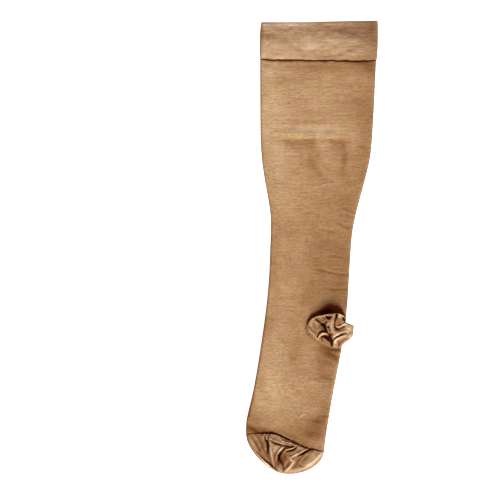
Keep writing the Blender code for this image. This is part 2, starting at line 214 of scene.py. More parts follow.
def flatTube(piece, stations, inset=0.0):
    # Points of a flattened tube, a row for each station: under layer, right side, upper layer, left side.
    # With an inset it is the tube's inside, which stays under the sag and the folds.
    section = sectionsAt(piece["sections"], stations)
    radius = section["edge"] / 2
    left, right = section["left"] + radius, section["right"] - radius
    underShare, sideShare, overShare = (
        np.tile(np.arange(steps) / steps, (len(stations), 1))
        for steps in (piece["underSteps"], piece["sideSteps"], piece["overSteps"]))
    overShare = 1 - overShare
    reach = (radius - inset) * np.sin(np.pi * sideShare)
    rise = (radius - inset) * np.cos(np.pi * sideShare)

    across = np.hstack([left + (right - left) * underShare, right + reach,
                        left + (right - left) * overShare, left - reach])
    down = downAt(section, (across - section["left"]) / (section["right"] - section["left"]))
    start = piece["underSteps"] + piece["sideSteps"]
    over = slice(start, start + piece["overSteps"])
    top, added, sag, inside = upperLayer(piece, section, overShare, across[:, over], down[:, over])
    if inset:
        top = np.minimum(sag, top)
    height = np.hstack([0 * underShare + inset, radius - rise, top - inset, radius + rise])
    # nothing lies below the table, and what slips inside the next piece lies a little higher
    lift = np.zeros(stations.shape)
    for first, last in piece.get("tucked", ()):
        lift[(stations >= first) & (stations <= last)] = piece["tuckLift"]
    height = np.maximum(height, lift[:, None] + inset)
    # the knit's lightness, times the patches' and the folds' painted shade and painted light
    tone = piece["baseTone"] * patchTone(piece["patches"], across, down)
    v = stations[:, None] + waves(piece["drift"], across, down)
    if not inset:
        sides = slice(piece["underSteps"], None)
        tone[:, sides] *= relief(piece["folds"], across[:, sides], down[:, sides])["tone"]
        across[:, over] += added["pushAcross"] * inside
        down[:, over] += added["pushDown"] * inside
    share = np.linspace(0, 1, across.shape[1] + 1)
    return dict(across=across, down=down, height=height, tone=np.clip(tone, leastTone, mostTone), v=v,
                station=stations[:, None], u=share * piece["nominalRound"])


def place(across, down, height):
    return np.stack([across, middleDown - down, height], axis=-1) * mm


def shell(name, outer, inner):
    # a closed thin wall: the outer rows, then the inner rows back to the start
    across, down, height, tone, v = (np.vstack([outer[key], inner[key][::-1]])
                                     for key in ("across", "down", "height", "tone", "v"))
    rows, columns = across.shape
    points = place(across, down, height).reshape(-1, 3)
    row, column = np.meshgrid(np.arange(rows), np.arange(columns), indexing="ij")
    nextRow, nextColumn = (row + 1) % rows, (column + 1) % columns
    corners = [(row, column), (nextRow, column), (nextRow, nextColumn), (row, nextColumn)]
    faces = np.stack([(r * columns + c).ravel() for r, c in corners], axis=1)
    uColumns = [column, column, column + 1, column + 1]
    uv = np.stack([np.stack([outer["u"][u].ravel() * mm, v[r, c].ravel() * -mm], axis=1)
                   for (r, c), u in zip(corners, uColumns)], axis=1)
    return sheetObject(name, points, faces, uv, tone.ravel())


def sheetObject(name, points, faces, uv, tone):
    # uv has a row for each corner of each face, and tone a value for each point
    mesh = bpy.data.meshes.new(name)
    mesh.from_pydata(points.tolist(), [], faces.tolist())
    mesh.uv_layers.new(name="knit").data.foreach_set("uv", uv.astype(np.float32).ravel())
    mesh.attributes.new("tone", "FLOAT", "POINT").data.foreach_set("value", tone.astype(np.float32))
    shaped = bmesh.new()
    shaped.from_mesh(mesh)
    bmesh.ops.remove_doubles(shaped, verts=shaped.verts, dist=1e-7)
    if shaped.calc_volume(signed=True) < 0:
        bmesh.ops.reverse_faces(shaped, faces=shaped.faces)
    shaped.to_mesh(mesh)
    shaped.free()
    mesh.shade_smooth()
    piece = bpy.data.objects.new(name, mesh)
    bpy.context.scene.collection.objects.link(piece)
    print(name, "shaped:", sum(len(face.vertices) - 2 for face in mesh.polygons), "triangles")
    return piece


def srgb(hexColour):
    channels = [int(hexColour[i:i + 2], 16) / 255 for i in (1, 3, 5)]
    return [c / 12.92 if c <= 0.04045 else ((c + 0.055) / 1.055) ** 2.4 for c in channels] + [1.0]


def addNode(tree, kind, settings=(), links=()):
    node = tree.nodes.new("ShaderNode" + kind)
    for key, value in dict(settings).items():
        if isinstance(key, str) and hasattr(node, key):
            setattr(node, key, value)
        else:
            node.inputs[key].default_value = value
    for key, socket in dict(links).items():
        tree.links.new(socket, node.inputs[key])
    return node


# What a knit's look is made of: thick and thin yarn in long slubs and draws, blotches where it lies
# looser, an uneven dye, and the stripes of its courses and wales.
cloud = {"Scale": 1.0, "Detail": 2.0, "Roughness": 0.5}
stripe = {"wave_type": "BANDS", "Scale": 1.0, "Detail": 2.0, "Detail Scale": 1.5}
patternKinds = dict(
    slub=("TexNoise", dict(cloud, Detail=1.5)), draw=("TexNoise", cloud), blotch=("TexNoise", cloud),
    dye=("TexNoise", cloud), course=("TexWave", dict(stripe, bands_direction="Y", Distortion=2.0)),
    wale=("TexWave", dict(stripe, bands_direction="X", Distortion=1.5)))


def knit(finish):
    # Compression knit: covered elastane laid in along each course and a fine nylon loop round it. Each
    # course shows as a faint ridge, uneven where the yarn is thicker, with a soft dull gleam.
    material = bpy.data.materials.new(finish["name"])
    material.use_nodes = True
    tree = material.node_tree
    surface = addNode(tree, "UVMap", {"uv_map": "knit"}).outputs["UV"]
    patterns = {}
    for name, (kind, look) in patternKinds.items():
        # a wave texture's own period is 2 pi times its scale
        unit = 2 * np.pi * mm if kind == "TexWave" else mm
        width, length = finish[name][:2]
        scaled = addNode(tree, "Mapping", {"Scale": (1 / (width * unit), 1 / (length * unit), 1)},
                         {"Vector": surface})
        patterns[name] = addNode(tree, kind, look, {"Vector": scaled.outputs["Vector"]}).outputs["Fac"]

    def mixed(weights):
        # 0.5, plus each pattern's weight times how far it is from 0.5
        start = {"operation": "ADD", 0: 0.5, 1: -0.5 * sum(weights.values())}
        total = addNode(tree, "Math", start).outputs[0]
        for name, weight in weights.items():
            settings = {"operation": "MULTIPLY_ADD", 1: weight}
            total = addNode(tree, "Math", settings, {0: patterns[name], 2: total}).outputs[0]
        return total

    # in a Mix node, 0 is the share of the second colour, and 6 and 7 are the two colours
    multiply = {"data_type": "RGBA", "blend_type": "MULTIPLY", 0: 1.0}
    grain = mixed({name: finish[name][2] for name in ("slub", "draw", "blotch", "course", "wale")})
    yarn = addNode(tree, "Mix", {"data_type": "RGBA", 6: srgb(finish["dark"]), 7: srgb(finish["light"])},
                   {0: grain}).outputs[2]
    # The dye takes a little unevenly, rosier in places.
    tint = addNode(tree, "Mix", {"data_type": "RGBA", 6: srgb(finish["green"]), 7: srgb(finish["rosy"])},
                   {0: mixed({"dye": finish["dye"][2]})}).outputs[2]
    dyed = addNode(tree, "Mix", multiply, {6: yarn, 7: tint}).outputs[2]
    # The tone attribute holds painted shade and painted highlights. Less light comes back from a fold's
    # bottom, and what does has met more of the brown knit, so the painted shade grows browner as it
    # darkens.
    tone = addNode(tree, "Attribute", {"attribute_name": "tone"}).outputs["Fac"]
    powers = [addNode(tree, "Math", {"operation": "POWER", 1: power}, {0: tone}).outputs[0]
              for power in finish["deepen"]]
    toned = addNode(tree, "CombineColor", links=dict(enumerate(powers))).outputs[0]
    colour = addNode(tree, "Mix", multiply, {6: dyed, 7: toned}).outputs[2]
    bump = addNode(tree, "Bump", {"Strength": finish["bump"], "Distance": 0.3 * mm},
                   {"Height": mixed({"slub": 1.0, "course": 0.2, "wale": 0.3})})
    shader = tree.nodes["Principled BSDF"]
    tree.links.new(colour, shader.inputs["Base Color"])
    tree.links.new(bump.outputs["Normal"], shader.inputs["Normal"])
    surfaceLook = {"Roughness": finish["roughness"], "Specular IOR Level": finish["specular"],
                   "Sheen Weight": finish["sheen"], "Sheen Roughness": 0.4, "Sheen Tint": srgb("#f2dcc0")}
    for key, value in surfaceLook.items():
        shader.inputs[key].default_value = value
    return material


# Each pattern's (width, length, weight) is in millimetres along a course and across it, and a stripe's
# two sizes are its period. Real courses are about 0.6 mm apart and wales 0.8 mm. Both are drawn two to
# four times as coarse, so that they show. "deepen" is how fast red, green and blue fade with the tone.
legKnit = dict(
    name="elastane compression knit", light="#ddc59b", dark="#a88459", rosy="#fff2f8", green="#fbfaea",
    slub=(8, 0.8, 1.6), draw=(30, 0.9, 1.2), blotch=(24, 16, 0.5), dye=(15, 12, 2.4),
    course=(2.3, 2.3, 0.06), wale=(2.2, 2.2, 0.05),
    bump=0.35, roughness=0.75, specular=0.12, sheen=0.02, deepen=(1.0, 1.46, 2.0))
# The welt is two layers of the same knit, with broader streaks.
bandKnit = dict(
    legKnit, name="doubled welt knit", light="#dfcaa9", dark="#a7865b",
    slub=(9, 0.9, 1.6), draw=(34, 1.1, 0.8), blotch=(30, 6, 0.7), dye=(28, 8, 1.8), deepen=(1.0, 1.3, 1.65))
# The heel and the toe are plain nylon with no elastane laid in: finer, smoother and a little glossier.
pocketKnit = dict(
    name="plain nylon pocket knit", light="#eedabc", dark="#cdb38b", rosy="#fff8f2", green="#fafcec",
    slub=(2.2, 1.5, 1.0), draw=(3.5, 3.5, 0.8), blotch=(8, 8, 0.8), dye=(8, 8, 1.0),
    course=(1.6, 1.6, 0.04), wale=(1.6, 1.6, 0.04),
    bump=0.2, roughness=0.5, specular=0.2, sheen=0.0, deepen=(1.0, 1.47, 1.88))


# In each piece, "nominalRound" is the way round its knit, "sagPower" how late the upper layer rises towards
# the side folds, "insidePower" how near them its own folds fade, "baseTone" how light the knit is before
# the folds, and "drift" how its courses wander.
band = dict(
    wall=1.6, overSteps=240, underSteps=30, sideSteps=8, nominalRound=264.0, sagPower=1.6, insidePower=8,
    rowStep=0.5, edgeShade=0.5, edgeShadeReach=1.1, baseTone=1.0, drift=[(1.2, 50, 30, 1.9)],
    sections=[
        (0.5, -56.6, 73.4, -1.6, 0, 4.2, 4.2),
        (0.8, -56.8, 73.7, -1.6, 0, 5, 4.9),
        (1.8, -57, 73.9, -1.6, 0, 5.6, 5.2),
        (4, -57.3, 74, -1.6, 0, 6.1, 5.6),
        (12, -58.1, 74, -1, 0, 7.3, 6.5),
        (22, -58.4, 73.9, 0, 0.2, 8, 7.3),
        (33, -58.5, 73.4, 0.5, 0.5, 7.9, 7.3),
        (38, -58.4, 73, 0.8, 0.8, 7.5, 7),
        (41.3, -58.2, 72.6, 0.8, 0.9, 6.9, 6.7),
        (42, -58, 72.3, 0.8, 0.9, 5.9, 5.9),
    ],
    waves=[(0.6, 26, 10, 1.5), (0.25, 9, 5, 4.5)],
    folds=[
        ridge([(-56, 39, 4), (-38, 40.2, 1), (-14, 39.6, 5), (10, 40.2, 1), (34, 39, 7), (52, 39.4, 2),
               (72, 39.4, 5)], 0.3, 1.4),
        ridge([(-56, 1.4, 5), (-20, 0.9, 10), (20, 0.3, 8), (50, -0.3, 10), (72, -0.7, 5)], 0, 0.9, 0.22),
        crease([(-58, 13, 10), (-50, 14, 8), (-38, 16, 2)], 0.5, 5),
        crease([(18, 4, 3), (32, 9, 10), (52, 10, 9), (72, 7, 5)], 0.8, 5),
        crease([(12, 4.6, 3), (26, 5.2, 10), (40, 5.4, 8), (52, 6, 3)], 0.1, 0.9, 0.14),
        crease([(20, 9, 3), (30, 9.6, 10), (42, 12.2, 9), (52, 14.5, 4)], 0.1, 2, 0.1),
        crease([(46, 14, 3), (56, 18, 10), (66, 24, 6)], 0.3, 3, 0.1),
    ],
    patches=[
        (35, 8.5, 15, 3.4, -30), (41, 10.5, 9, 2.2, -12), (66, 6, 7, 7, -28), (60, 18, 11, 5, -18),
        (71, 29, 4, 10, -18), (45, 19, 8, 4, -6), (-47, 15.8, 8, 3.6, -28), (-55.5, 13.5, 2.6, 12, -24),
        (-32, 20.8, 8, 3.2, -18), (-32, 10.2, 5, 2.4, -12), (-7, 9, 6, 4, -14), (2, 12.4, 5, 2.6, -17),
        (-8, 8, 30, 6, -6), (6, 26, 18, 6, 14), (-41, 33.5, 20, 7, 12), (60, 20, 16, 14, -9),
        (60, 41, 16, 4, -14), (-30, 25, 14, 6, -7), (-38, 34, 12, 4, -8), (26, 36, 8, 2.5, 6),
        (-42, 1.5, 28, 4, 64), (-36, 9, 24, 6, 17), (-14, 6, 14, 7, 8), (46, 7.5, 14, 2.6, -28),
        (70, 16, 5, 14, -10), (14, 30, 10, 4, -6), (-4, 24, 5, 8, 7), (18, 6, 10, 4, -12),
        (-57, 2, 4, 5, 20), (-31, 11, 6, 4, 8), (2, 14, 6, 4, 8), (64, 38, 9, 4, -6), (-56, 34, 4, 5, -8),
        (-57, 25, 5, 20, 10), (68, 18, 8, 16, -18), (46, 41, 30, 4, -22), (15, 41, 14, 3, -10),
        (-10, 36, 18, 5, 7), (18, 32.5, 5, 2.4, -12), (45, 32.5, 5, 2, -12), (33, 36.5, 5, 2, -10),
        (-13, 34.5, 3, 1.6, -10), (46, 37.2, 4, 1.4, 22), (38, 37.6, 2.4, 1.2, 16), (64, 34, 8, 5, -10),
        (40, 28, 16, 7, 3), (-13, 39.3, 8, 3, -22), (-8, 32.3, 10, 3.5, 11), (54, 6.5, 9.5, 4, -23),
        (19, 22, 7, 3.5, 14),
    ],
)

# The band's lower edge and the leg under it wander a little together.
hemLine = dict(down=42.3, sway=1.1, length=8.0, reach=5.0, seed=3.3)


def swayHem(rows):
    near = bell((rows["down"] - hemLine["down"]) / hemLine["reach"])
    sway = ripple(rows["across"], 0 * near, hemLine["length"], 1.0, hemLine["seed"])
    rows["down"] += hemLine["sway"] * near * sway
    return rows


def buildBand():
    first, last = band["sections"][0][0], band["sections"][-1][0]
    stations = np.append(np.arange(first, last, band["rowStep"]), last)
    outer = swayHem(flatTube(band, stations))
    inner = swayHem(flatTube(band, stations[::4], band["wall"]))
    # painted shade along the band's lower edge, which slopes towards the light
    outer["tone"] *= 1 - band["edgeShade"] * bell((last - stations[:, None]) / band["edgeShadeReach"])
    return shell("top_band_knit", outer, inner)


leg = dict(
    wall=0.8, overSteps=120, underSteps=24, sideSteps=8, nominalRound=264.0, sagPower=1.6, insidePower=8,
    rowStep=1.3, endRowStep=0.4, endLength=6.0, tucked=[(0, 42.1), (461.1, 500)], tuckLift=0.4,
    baseTone=1.0, drift=[(2.2, 60, 50, 5.1), (0.5, 14, 14, 8.3)],
    # the stretches that slip into the band and the toe are a little higher, and the joins there are deep
    # and
    # painted dark, thinnest at their ends: how wide and how strong their painted shade is, as (across,
    # value)
    hem=42.3, hemShade=0.87, hemUneven=dict(height=0.45, length=6, seed=6.1),
    hemWidths=[(-58, 0.9), (-50, 1.35), (-38, 1.65), (-24, 1.95), (-14, 1.35), (-3, 1.8), (4, 1.05),
               (14, 1.65), (24, 1.05), (34, 1.8), (46, 1.8), (58, 1.8), (66, 1.35), (72, 0.75)],
    hemDepths=[(-58, 0.7), (-48, 1), (-14, 0.9), (8, 1), (58, 1), (66, 0.85), (72, 0.6)],
    seam=461.1, seamShade=0.95,
    seamWidths=[(-74, 0.44), (-66, 0.88), (-56, 1.54), (-30, 1.43), (-16, 0.88), (14, 0.44)],
    seamDepths=[(-74, 0.75), (-66, 0.9), (-56, 1), (-26, 1), (-10, 0.8), (14, 0.6)],
    sections=[
        (41.2, -57.8, 72, 0.8, 0.9, 3.4, 2.6),
        (42.3, -58, 72.2, 0.8, 0.9, 4, 2.7),
        (43.2, -58, 72.1, 0.8, 0.9, 4.4, 3.1),
        (48, -58, 71.8, 0.6, 0.5, 4.6, 3.2),
        (58, -58, 71.3, 0.3, 0, 5.2, 3.5),
        (87.5, -57.9, 69.9, 0, 0, 5.8, 3.8),
        (132.3, -57.4, 67.3, 0, 0, 6, 3.6),
        (154.7, -55.9, 64.7, 0, 0, 6, 3.6),
        (177.1, -52.8, 59.4, 0, 0, 5.9, 3.5),
        (199.5, -48.8, 53.4, 0, 0, 5.7, 3.5),
        (216.3, -46.4, 49.1, 0, 0, 5.6, 3.4),
        (233.1, -46, 45.7, 0, 0, 5.5, 3.4),
        (255.5, -46.8, 43.5, 0, 0, 5.4, 3.4),
        (289.1, -48.3, 41.4, 0, 0, 5.3, 3.4),
        (322.7, -51.6, 39.1, 0, 0, 5.2, 3.4),
        (367.5, -57.9, 32.5, 2.5, 0, 5.4, 3.4),
        (412.3, -65.5, 22.9, 8, 0, 5.5, 3.5),
        (445.9, -73.2, 16.1, 15.5, 0, 5, 3.5),
        (457, -74, 14.2, 19, 0.1, 4.5, 3.3),
        (461, -74, 13.8, 19.8, 0.2, 4.2, 2.7),
        (461.7, -73.7, 13.5, 19.8, 0.2, 3.6, 2.6),
    ],
    waves=[(0.5, 44, 24, 2.5), (0.18, 18, 6, 7.5)],
    folds=[
        ridge([(-40, 124, 6), (-6, 126, 10), (20, 125, 10), (48, 123, 5)], 0.7, 4.5),
        flap([(-34, 129.9, 4), (-30, 129.2, 10), (-12, 128.8, 10), (2, 128.9, 10),
              (5, 129.6, 4)], 0.2, 6, 1.5, 0.3, 6, shade=0.22),
        flap([(17, 129.4, 4), (21, 129, 10), (36, 129.8, 10),
              (41, 131.8, 4)], 0.2, 6, 1.5, 0.3, 5.5, shade=0.22),
        crease([(34.5, 136, 5), (36, 143, 9), (36.6, 150, 12), (35.6, 156, 11), (33.6, 163, 7),
                (32, 170, 3)], 0.5, 2.8, 0.22),
        crease([(-5, 147, 4), (-1, 154, 10), (3, 161, 11), (7, 167, 9), (12, 174, 3)], 0.3, 4, 0.18),
        crease([(50, 137.5, 3), (55, 139.5, 10), (61, 142.5, 3)], 0.4, 1.2, 0.22),
        crease([(11, 162, 4), (15, 162.4, 8), (18, 165.6, 10), (19, 167, 4)], 0.3, 0.8, 0.22),
        crease([(-30, 108.4, 4), (-10, 109.5, 8), (12, 110.8, 9), (36, 112, 4)], 0.2, 1.6, 0.1),
        crease([(-54, 48, 9), (-48, 48, 8), (-42, 47.6, 2)], 0.3, 0.8, 0.34),
        crease([(-38, 64, 4), (-26, 64.8, 9), (-14, 64.4, 3)], 0.2, 1, 0.14),
        ridge([(2, 185.5, 3), (12, 182.5, 9), (22, 180.6, 8), (34, 180.2, 2)], 0.3, 1.2, 0.07),
        crease([(4, 179.4, 2), (14, 179, 8), (22, 178.4, 6), (26, 178, 2)], 0.1, 1, 0.08),
        crease([(33, 207.6, 3), (39, 209.8, 10), (48, 213.8, 7)], 0.5, 0.9, 0.3),
        crease([(35, 214.8, 2), (40, 217, 8), (46, 219.6, 4)], 0.4, 0.9, 0.2),
        crease([(27, 223.6, 3), (32, 226, 8), (38, 229, 9), (46, 231, 9)], 0.6, 1.5, 0.26),
        ridge([(26, 226, 3), (32, 231, 8), (42, 233.6, 8)], 0.4, 1.6, 0.05),
        crease([(4, 230.8, 3), (10, 232, 9), (13.5, 233, 6), (20, 234.2, 10),
                (27, 235.6, 3)], 0.4, 0.8, 0.26),
        crease([(-3, 202.4, 3), (3, 202.8, 8), (9, 202.6, 2)], 0.3, 0.8, 0.18),
        crease([(-9, 214.2, 3), (-3, 213.8, 7), (4, 214.6, 2)], 0.2, 0.8, 0.12),
        crease([(-46, 224.6, 9), (-42, 224.8, 8), (-38, 225.4, 2)], 0.3, 0.9, 0.26),
        crease([(-45, 240.2, 7), (-35, 241, 2)], 0.3, 1.1, 0.16),
        crease([(22, 252, 3), (32, 252.2, 8), (40, 253.4, 5)], 0.3, 1.2, 0.14),
        ridge([(16, 258.6, 4), (22, 258.9, 10), (28, 259.2, 3)], 0.3, 0.8, 0.1),
        crease([(16.5, 261.4, 4), (23, 261.9, 10), (30, 262.8, 6), (38, 264.4, 5)], 0.4, 0.8, 0.26),
        crease([(4, 277, 3), (10, 277.8, 10), (19, 280, 9), (27, 281.4, 8),
                (40, 284, 11)], 0.6, 0.9, 0.36),
        ridge([(14, 276.6, 3), (24, 278.4, 9), (39, 281, 8)], 0.4, 1.2, 0.05),
        crease([(23, 291, 3), (32, 291.4, 9), (40, 292.4, 6)], 0.4, 1.6, 0.18),
        crease([(14, 298, 2), (24, 299.2, 9), (40, 299.6, 10)], 0.5, 1.8, 0.24),
        crease([(26, 303.6, 3), (33, 304, 8), (40, 304.2, 6)], 0.3, 0.9, 0.18),
        crease([(-46, 270, 9), (-42, 270.2, 7), (-38, 270.6, 2)], 0.3, 0.9, 0.24),
        crease([(-47, 263.4, 6), (-40, 264, 3)], 0.2, 1.6, 0.14),
        crease([(-53, 331, 8), (-47, 331.8, 8), (-37, 335, 2)], 0.4, 1.2, 0.16),
        crease([(-55, 341, 7), (-49, 342, 7), (-41, 344, 2)], 0.4, 1.2, 0.14),
        crease([(2, 364, 3), (9, 367.6, 6), (16, 371.4, 9), (23, 375.4, 10),
                (30, 379.4, 10)], 0.6, 2.8, 0.36),
        crease([(11, 378, 3), (17, 380, 7), (25, 382, 6)], 0.3, 2, 0.16),
        crease([(18.4, 387, 5), (20.4, 385.2, 10), (23.2, 384.8, 10), (25.4, 386.4, 6)], 0.3, 0.8, 0.26),
        crease([(18.6, 389.4, 5), (21.2, 390.4, 9), (24.6, 390, 5)], 0.3, 0.8, 0.22),
        crease([(9, 396.5, 4), (15, 398.2, 9), (22, 400.4, 8)], 0.4, 1.6, 0.22),
        ridge([(-6, 402, 3), (4, 403.4, 9), (12, 405.4, 9), (21, 404.2, 4)], 0.3, 1, 0.08),
        crease([(10, 406.6, 4), (18, 407, 9), (27, 409, 8)], 0.3, 0.8, 0.22),
        ridge([(-16.4, 442.8, 4), (-12.6, 441.2, 11), (-8, 437.4, 4)], 0.4, 1.2, 0.14),
        crease([(-19, 444.4, 3), (-13, 444.2, 8), (-8, 442.4, 3)], 0.3, 0.9, 0.14),
        crease([(5, 441.4, 4), (11, 441.8, 10), (19, 442, 10)], 0.4, 1.5, 0.34),
        crease([(0, 446, 4), (7, 446.4, 10), (13, 446.8, 7)], 0.4, 1.7, 0.32),
        crease([(-52, 329.6, 6), (-44, 331.6, 8), (-34, 334.6, 3)], 0.2, 1, 0.1),
        # painted shade on the leg just above the toe's seam
        crease([(-74, 451.5, 8), (-68, 454.5, 10), (-62, 458.5, 10), (-58, 461, 6)], 0.6, 2.4, 0.46),
        crease([(-46, 457, 4), (-30, 459, 7), (-14, 467, 9), (0, 474, 9), (12, 478, 4)], 0.8, 5, 0.28),
        # where the pouch presses on the leg, with painted shade round it and its painted shadow above it
        crease([(3, 328.6, 8), (-1.5, 330.6, 10), (-5.2, 334.4, 10), (-6.6, 340.4, 10), (-5.9, 345.6, 9),
                (-3.4, 349.6, 8), (0.8, 354, 7), (4.8, 357.2, 6), (11, 361.2, 6), (20.5, 366.2, 9),
                (30, 367.4, 7)], 0.4, 1.1, 0.55),
        crease([(18, 366, 6), (25, 367.4, 10), (31, 367.4, 10)], 0.3, 1.9, 0.62),
        crease([(8, 361.9, 3), (14, 366, 9), (21, 370.6, 11), (28, 375.3, 8)], 0.6, 1.6, 0.4),
        crease([(1, 330.6, 1), (6, 327.6, 5), (12, 326, 15), (19, 324.4, 16), (26, 324.4, 8),
                (32, 325.6, 3), (37, 328.5, 5)], 0.1, 3, 0.54),
        crease([(40, 312, 6), (26, 311, 10), (12, 316, 7), (0, 323, 3), (-7, 332, 1), (-8, 346, 2),
                (0, 356, 3)], 0.2, 7, 0.27),
    ],
    # painted shade and painted light across the leg, among them the pouch's shadow above it
    patches=[
        (-56, 48, 5, 8, 10), (-42, 54, 14, 5, 5), (-33, 44.4, 20, 1.6, -22), (2, 50, 32, 6, -22),
        (27, 51, 19, 7, -13), (43, 54, 7, 4, -8), (57, 46, 15, 3.3, -43), (65, 52, 11, 9, -31),
        (-52, 56, 8, 10, 14), (-27, 62.5, 10, 3, -12), (3, 58, 18, 4, -6), (52, 58, 14, 7, -8),
        (60, 62, 8, 5, 5), (70, 62, 4, 8, -8), (24, 68, 12, 8, -8), (36, 70.5, 9, 3, -10),
        (6, 86, 8, 4, 8), (26, 88.6, 5, 2.5, -8), (46, 88.6, 7, 3.5, -10), (-46, 96, 14, 35, 14),
        (-38, 94, 10, 12, 7), (53, 102, 15, 22, -17), (64, 92, 18, 42, -13), (68, 98, 6, 18, -8),
        (-57, 104, 6, 18, 8), (4, 105, 12, 6, -8), (-14, 113, 8, 7, -6), (0, 122, 44, 7, 19),
        (10, 120, 44, 4, 16), (-28, 134, 6, 3, -5), (-2, 132.6, 7, 1.6, -8), (0, 131, 40, 2.5, -5),
        (46, 138, 4, 5, 7), (-41, 142, 8, 6, 9), (-34, 148, 7, 9, 12), (-15, 138, 17, 6, -8),
        (0, 149, 7, 3, -10), (0, 142, 6, 4.5, -23), (11, 138, 5, 10, 8), (31, 141, 9, 8, -15),
        (38, 140, 5, 4, -7), (53, 147, 9, 9, -12), (56, 144, 5, 4, 8), (62, 143, 10, 34, -15),
        (-44, 160, 8, 16, 6), (-33, 154, 6, 6, 8), (-3, 154, 6, 4, 6), (7, 152, 7, 8, -9),
        (34, 154, 3, 8, -6), (-4, 162, 8, 5.5, -18), (32, 163, 9, 6, -12), (33, 171, 6, 5, -12),
        (52, 165, 10, 14, -10), (60, 172, 8, 14, -14), (6, 178, 9, 5, -8), (8, 176, 34, 20, -6),
        (50, 176, 9, 5, -6), (-32, 188, 13, 21, 6), (-20, 194, 6, 5, -5), (40, 190, 20, 26, -10),
        (-46, 203, 5, 7, -6), (4, 199, 14, 6, -11), (18, 200, 10, 8, -8), (42, 203, 14, 18, -16),
        (-18, 210, 10, 6, 5), (4, 214, 24, 14, -10), (38, 212, 8, 8, 8), (8, 233, 8, 5, 13),
        (26, 228, 16, 5, 8), (34, 229, 9, 3, 8), (-24, 236, 14, 18, -11), (7, 239, 13, 15, -17),
        (12, 241, 12, 8, 6), (6, 250, 30, 60, -5), (32, 252, 6, 6, 7), (34, 247, 12, 12, 14),
        (34, 255, 17, 38, -34), (-42, 262, 8, 44, -16), (-24, 270, 10, 40, -6), (17, 266, 6, 8, -6),
        (6, 272, 14, 30, -22), (-36, 290, 12, 12, -6), (-12, 288, 8, 8, -10), (4, 283, 6, 6, 6),
        (30, 293, 8, 5, 12), (40, 288, 5, 12, 7), (8, 300, 12, 14, -15), (30, 296, 16, 16, -26),
        (-42, 318, 10, 12, -10), (-38, 316, 8, 6, 9), (-14, 318, 8, 8, -5), (-6, 306, 10, 18, -18),
        (3, 316, 9, 6, -18), (14, 312, 7, 4, 10), (28, 309, 15, 8, 14), (38, 316, 4, 9, -30),
        (14, 326, 5, 1.8, -55), (-50, 338, 8, 9, -19), (-20, 334, 14, 16, -12), (-54, 350, 6, 10, -8),
        (-6, 352, 8, 10, -12), (-18, 360, 8, 9, -18), (12, 364, 8, 4.5, -26), (-18, 374, 8, 6, -16),
        (24, 368, 4, 3, 10), (24, 374, 8, 5, -16), (-22, 384, 14, 18, -10), (-18, 390, 6, 10, -5),
        (3, 383, 5, 12, 6), (10, 378, 8, 7, -12), (13, 388, 13, 21, -26), (-56, 401, 4, 8, -12),
        (-7, 394, 6, 9, -6), (11, 396, 8, 5, -8), (17, 397, 8, 4, -10), (-48, 414, 9, 8, 5),
        (-40, 402, 12, 28, 12), (5, 412, 8, 5, 13), (4, 420, 16, 14, -12), (-71, 434, 4, 18, -18),
        (-67, 428, 5, 13, -13), (-50, 437, 10, 7, 15), (-11, 428, 10, 6, -6), (14, 437, 8, 8, -9),
        (16, 433, 8, 7, -24), (-70, 440, 5, 20, -12), (-64, 446, 10, 8, -16), (-48, 444, 16, 12, -16),
        (-14, 447, 12, 8, -8), (6, 449, 12, 9, -40), (-72, 458, 6, 5, -22), (-66, 456.5, 12, 4, -30),
        (-56, 457, 10, 4, -32), (-52, 459, 9, 2.6, -48), (-30, 456, 16, 4, -10), (-17, 459, 15, 8.5, -16),
        (1, 462, 15, 8.5, -46),
    ],
)


def along(table, across):
    keys, values = zip(*table)
    return between(keys, values, across)


def buildLeg():
    first, last = leg["sections"][0][0], leg["sections"][-1][0]
    nearHem = np.arange(first, first + leg["endLength"], leg["endRowStep"])
    middle = np.arange(first + leg["endLength"], last - leg["endLength"], leg["rowStep"])
    nearSeam = np.arange(last - leg["endLength"], last, leg["endRowStep"])
    stations = np.concatenate([nearHem, middle, nearSeam, [leg["seam"], last]])
    stations = np.unique(stations.round(3))
    outer = swayHem(flatTube(leg, stations))
    inner = swayHem(flatTube(leg, np.append(stations[:-1:4], last), leg["wall"]))
    uneven = leg["hemUneven"]
    for rows in (outer, inner):
        across = rows["across"]
        hemWidth = along(leg["hemWidths"], across)
        hemWidth += uneven["height"] * ripple(across, 0 * across, uneven["length"], 1.0, uneven["seed"])
        fromHem = np.maximum(rows["station"] - leg["hem"], 0) / hemWidth
        fromSeam = np.maximum(leg["seam"] - rows["station"], 0) / along(leg["seamWidths"], across)
        # painted shade in the joins to the band and the toe
        rows["tone"] *= 1 - leg["hemShade"] * along(leg["hemDepths"], across) * bell(fromHem)
        rows["tone"] *= 1 - leg["seamShade"] * along(leg["seamDepths"], across) * bell(fromSeam)
    return shell("leg_knit", outer, inner)


